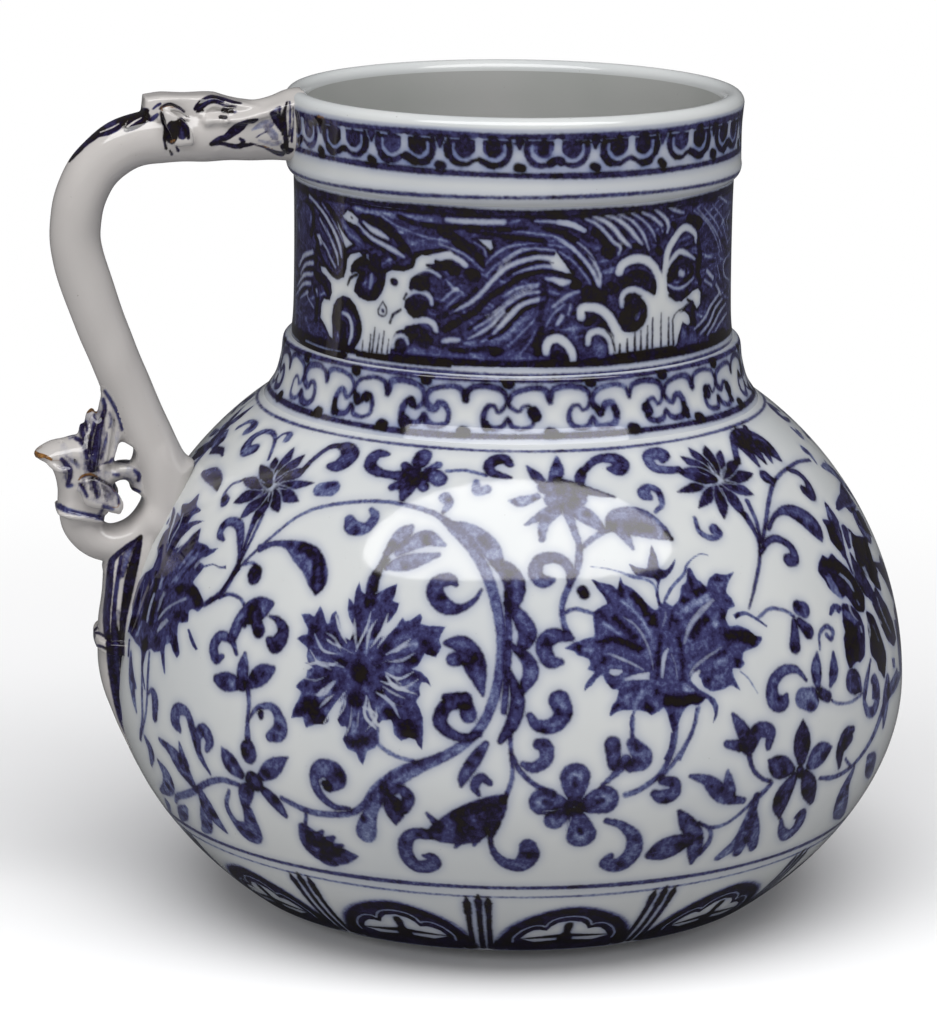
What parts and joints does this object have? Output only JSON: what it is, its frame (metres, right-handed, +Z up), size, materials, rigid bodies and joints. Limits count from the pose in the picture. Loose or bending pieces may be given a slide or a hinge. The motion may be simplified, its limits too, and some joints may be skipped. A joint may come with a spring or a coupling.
{
  "type": "porcelain ewer",
  "caption": "Lidless globular porcelain jug with a straight neck, underglaze-blue floral scrolls and waves, and a dragon-headed loop handle ending in a pierced blossom.",
  "frame": {"origin": "on the standing plane, under the middle of the overall bounding box; the vessel's turning axis stands 6.2 mm towards +X of it", "axes": "+Z up along the turning axis, the handle points to -X, the XZ plane mirrors the jug"},
  "size_m": [0.1422, 0.1298, 0.1327],
  "materials": {
    "white_glaze": "gloss, faintly blue-white glaze with cobalt painting",
    "cobalt_under_glaze": "gloss, deep mottled cobalt under the glaze",
    "pale_cobalt_under_glaze": "gloss, washed cobalt lines on white under the glaze",
    "ochre_edged_glaze": "gloss, petal rims where the thin glaze fired ochre",
    "bare_clay": "matt unglazed foot, lightly burnt"
  },
  "bodies": {
    "root": {"foot_ring": "bare_clay", "lower_bowl": "white_glaze", "upper_bowl": "white_glaze", "collar": "white_glaze", "neck": "cobalt_under_glaze", "mouth_rim": "pale_cobalt_under_glaze", "dragon_head": "white_glaze", "handle_bar": "white_glaze", "comb_plate": "white_glaze", "ear_near": "cobalt_under_glaze", "ear_far": "cobalt_under_glaze", "brow_near": "cobalt_under_glaze", "brow_far": "cobalt_under_glaze", "belly_strap": "white_glaze", "strap_band": "cobalt_under_glaze", "tail_loop": "white_glaze", "calyx_ring": "cobalt_under_glaze", "blossom_cup": "white_glaze", "petal_outer": "pale_cobalt_under_glaze", "petal_near": "ochre_edged_glaze", "petal_far": "ochre_edged_glaze", "plume_inner": "cobalt_under_glaze", "plume_middle": "cobalt_under_glaze", "plume_outer": "cobalt_under_glaze", "inner_curl": "pale_cobalt_under_glaze"}
  },
  "joints": []
}
